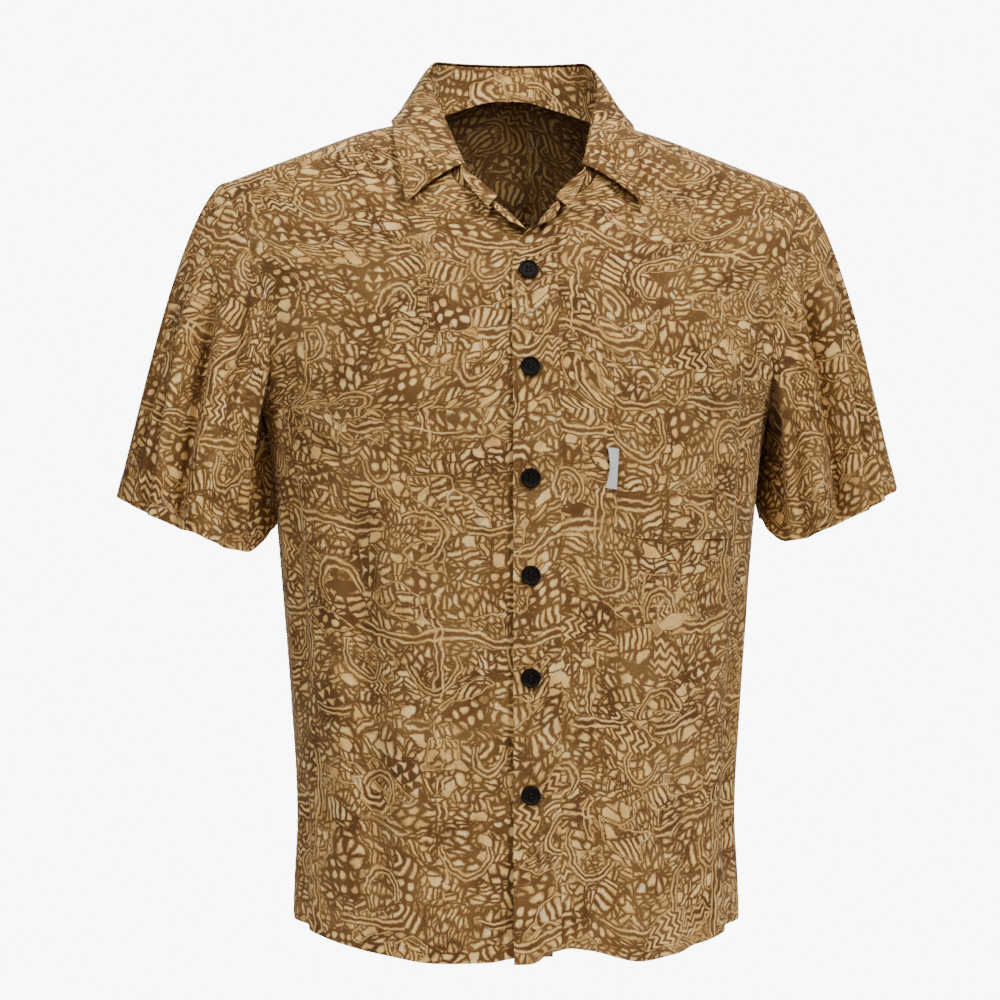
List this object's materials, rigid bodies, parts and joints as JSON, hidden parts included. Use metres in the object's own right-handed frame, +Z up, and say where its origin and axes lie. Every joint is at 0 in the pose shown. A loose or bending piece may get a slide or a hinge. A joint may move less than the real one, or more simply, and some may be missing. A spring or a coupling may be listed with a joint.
{
  "type": "hawaiian shirt",
  "caption": "Short-sleeved hawaiian shirt in brown and cream tapa-style print, in its hollow worn form, with an open collar, chest pocket and dark buttons.",
  "frame": {"origin": "Centre of the base of the neck, level with the highest point of the shoulder seams. It is the mount neck_base, where the worn shirt hangs from its wearer.", "axes": "+X is the wearer's left, -Y the front, +Z up. Metres."},
  "size_m": [0.703, 0.294, 0.8029],
  "materials": {
    "printed_cloth": "matt plain-weave cotton, brown with a cream print",
    "woven_tab": "matt off-white woven tape, blank",
    "button": "polished near-black resin"
  },
  "bodies": {
    "root": {"front_right": "printed_cloth", "front_left": "printed_cloth", "placket": "printed_cloth", "back": "printed_cloth", "yoke": "printed_cloth", "sleeve_right": "printed_cloth", "sleeve_left": "printed_cloth", "collar_stand": "printed_cloth", "collar_leaf": "printed_cloth", "pocket": "printed_cloth", "pocket_tab": "woven_tab", "button_1": "button", "button_2": "button", "button_3": "button", "button_4": "button", "button_5": "button", "button_6": "button"}
  },
  "joints": []
}
